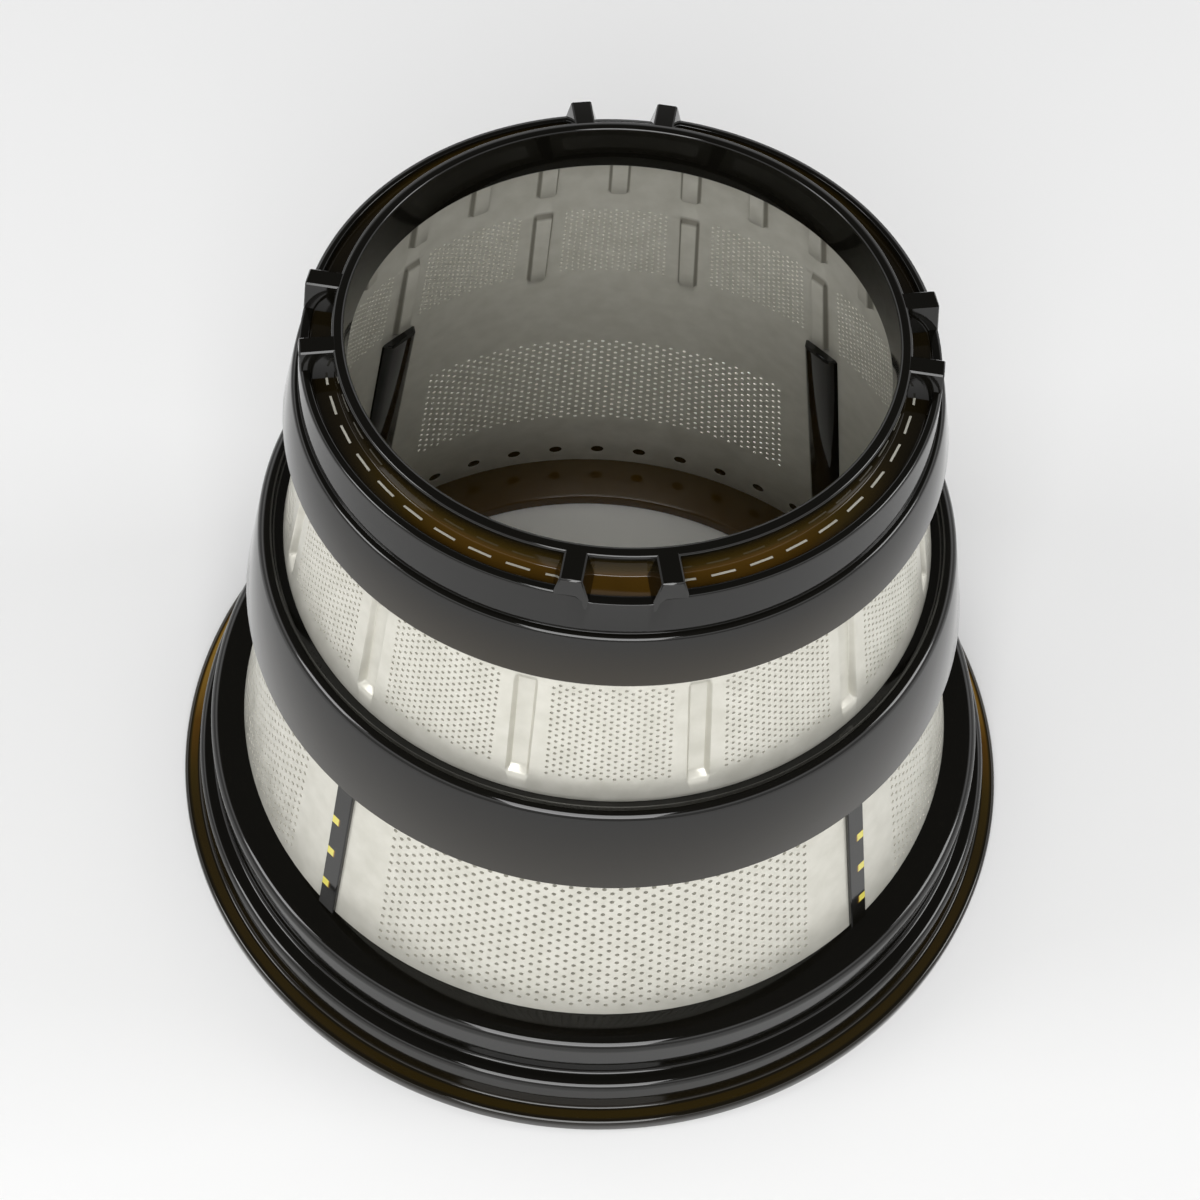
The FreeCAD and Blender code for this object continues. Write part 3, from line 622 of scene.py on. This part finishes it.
def stainless_sheet():
    """Stainless steel sheet, etched and pressed: a pale satin metal with a faint rolling grain, dull cut edges,
    and walls of the pressed ribs painted darker as a painted dark reflection."""
    material, tree = new_material("stainless_steel_etched")
    place = add_node(tree, "ShaderNodeTexCoord")
    grain = add_node(tree, "ShaderNodeTexNoise", {
        "Vector": place.outputs["Object"], "Scale": 1 / (STEEL_GRAIN * MM), "Detail": 4.0})
    colour = add_node(tree, "ShaderNodeValToRGB", {"Fac": grain.outputs["Fac"]}, SATIN)
    rough = add_node(tree, "ShaderNodeMapRange", {
        "Value": grain.outputs["Fac"], "From Min": 0.3, "From Max": 0.7, "To Min": 0.3, "To Max": 0.36})
    edge = add_node(tree, "ShaderNodeAttribute", attribute_name="cut_edge")
    dull = add_node(tree, "ShaderNodeMath", {
        0: rough.outputs["Result"], 1: edge.outputs["Fac"]}, operation="MAXIMUM")
    # Painted shade: the walls of the pressed ribs are mixed towards a dark colour that stands in for a dark
    # reflection
    wall = add_node(tree, "ShaderNodeAttribute", attribute_name="painted_wall_shade")
    # A mix of colours has its factor in socket 0, its colours in sockets 6 and 7, and its result in socket 2
    drawn = add_node(tree, "ShaderNodeMix", {
        0: wall.outputs["Fac"], 6: colour.outputs["Color"], 7: linear(PAINTED_RIB_SHADE)}, data_type="RGBA")
    # The etched face scatters much of the light, so it is part metal and part matt
    shader = add_node(tree, "ShaderNodeBsdfPrincipled", {
        "Base Color": drawn.outputs[2], "Metallic": 0.45, "Roughness": dull.outputs["Value"]})
    add_node(tree, "ShaderNodeOutputMaterial", {"Surface": shader.outputs["BSDF"]})
    return material


def place_piece(name, mesh, material, node, sharp):
    """Object for one piece, in the part's frame, standing for its solid."""
    for polygon in mesh.polygons:
        polygon.use_smooth = True
    mesh.set_sharp_from_angle(angle=math.radians(sharp))
    mesh.materials.append(material)
    piece = bpy.data.objects.new(name, mesh)
    bpy.context.scene.collection.objects.link(piece)
    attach(piece, "root")
    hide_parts(node)


plastic = smoked_plastic()
steel = stainless_sheet()
place_piece("narrow_ring_piece", build_narrow_ring(), plastic, "narrow_ring", PLASTIC_SHARP)
place_piece("screen_piece", build_screen(), steel, "screen", STEEL_SHARP)
place_piece("lower_frame_piece", build_lower_frame(), plastic, "lower_frame", PLASTIC_SHARP)


# Floor, light and camera, in metres
FLOOR_SIDE = 4.0
# The tent's light by height: its wall, a ring of lamps that draws a line along each rounded edge, and its dark top
TENT_LIGHT = 1.55
TENT = ((0.0, "#A8A8A8"), (0.36, "#A8A8A8"), (0.42, "#F6F6F6"), (0.55, "#F6F6F6"), (0.68, "#383838"))
# Softboxes: name, place, size and power. All look at one point of the part.
SOFTBOX_AIM = Vector((0, 0, 0.04))
SOFTBOXES = (("front_softbox", (-0.05, -0.72, 0.71), 0.6, 6.7),
             ("left_softbox", (-0.75, -0.1, 0.55), 0.3, 1.6),
             ("right_softbox", (0.8, 0.05, 0.55), 0.3, 1.6))
# The photograph's camera, fitted to the rims of the part. Its place, sensor and lens are in millimetres.
CAMERA_PLACE = Vector((-7.65, -146.0, 244.6))
CAMERA_TILT, CAMERA_PAN, CAMERA_ROLL = 55.19, -2.87, 4.17
CAMERA_SENSOR, CAMERA_LENS = 36.0, 62.19
CAMERA_CLIP = 0.01


def build_floor():
    """Plain pale floor."""
    mesh = bpy.data.meshes.new("floor")
    side = FLOOR_SIDE
    mesh.from_pydata([(-side, -side, 0), (side, -side, 0), (side, side, 0), (-side, side, 0)],
                     [], [(0, 1, 2, 3)])
    material, tree = new_material("paper_sweep")
    shader = add_node(tree, "ShaderNodeBsdfPrincipled", {
        "Base Color": linear("#F2F2F2"), "Roughness": 0.9, "Specular IOR Level": 0.1})
    add_node(tree, "ShaderNodeOutputMaterial", {"Surface": shader.outputs["BSDF"]})
    mesh.materials.append(material)
    floor = bpy.data.objects.new("floor", mesh)
    bpy.context.scene.collection.objects.link(floor)


def build_light_tent():
    """Light tent: bright all round and dark overhead, so that level faces stay dark."""
    world = bpy.data.worlds.new("studio")
    bpy.context.scene.world = world
    world.use_nodes = True
    tree = world.node_tree
    tree.nodes.clear()
    place = add_node(tree, "ShaderNodeTexCoord")
    split = add_node(tree, "ShaderNodeSeparateXYZ", {"Vector": place.outputs["Generated"]})
    ramp = add_node(tree, "ShaderNodeValToRGB", {"Fac": split.outputs["Z"]}, TENT)
    light = add_node(tree, "ShaderNodeBackground", {"Color": ramp.outputs["Color"], "Strength": TENT_LIGHT})
    add_node(tree, "ShaderNodeOutputWorld", {"Surface": light.outputs["Background"]})


def build_softbox(name, place, size, power):
    """Square soft light that looks at the part."""
    data = bpy.data.lights.new(name, "AREA")
    data.size = size
    data.energy = power
    lamp = bpy.data.objects.new(name, data)
    lamp.location = place
    lamp.rotation_euler = (SOFTBOX_AIM - Vector(place)).to_track_quat("-Z", "Y").to_euler()
    bpy.context.scene.collection.objects.link(lamp)


def build_camera():
    """The photograph's camera, from its fitted place, tilt, pan and roll."""
    data = bpy.data.cameras.new("photo_camera")
    data.sensor_width = CAMERA_SENSOR
    data.lens = CAMERA_LENS
    data.clip_start = CAMERA_CLIP
    camera = bpy.data.objects.new("photo_camera", data)
    bpy.context.scene.collection.objects.link(camera)
    tilt, pan, roll = (math.radians(angle) for angle in (CAMERA_TILT, CAMERA_PAN, CAMERA_ROLL))
    right = Vector((math.cos(pan), math.sin(pan), 0))
    level = Vector((-math.sin(pan), math.cos(pan), 0))
    ahead = level * math.cos(tilt) - Vector((0, 0, 1)) * math.sin(tilt)
    up = level * math.sin(tilt) + Vector((0, 0, 1)) * math.cos(tilt)
    x = right * math.cos(roll) + up * math.sin(roll)
    y = up * math.cos(roll) - right * math.sin(roll)
    turn = Matrix((x, y, -ahead)).transposed().to_4x4()
    camera.matrix_world = Matrix.Translation(CAMERA_PLACE * MM) @ turn
    bpy.context.scene.camera = camera


build_floor()
build_light_tent()
for softbox in SOFTBOXES:
    build_softbox(*softbox)
build_camera()
bpy.context.scene.view_settings.view_transform = "Standard"
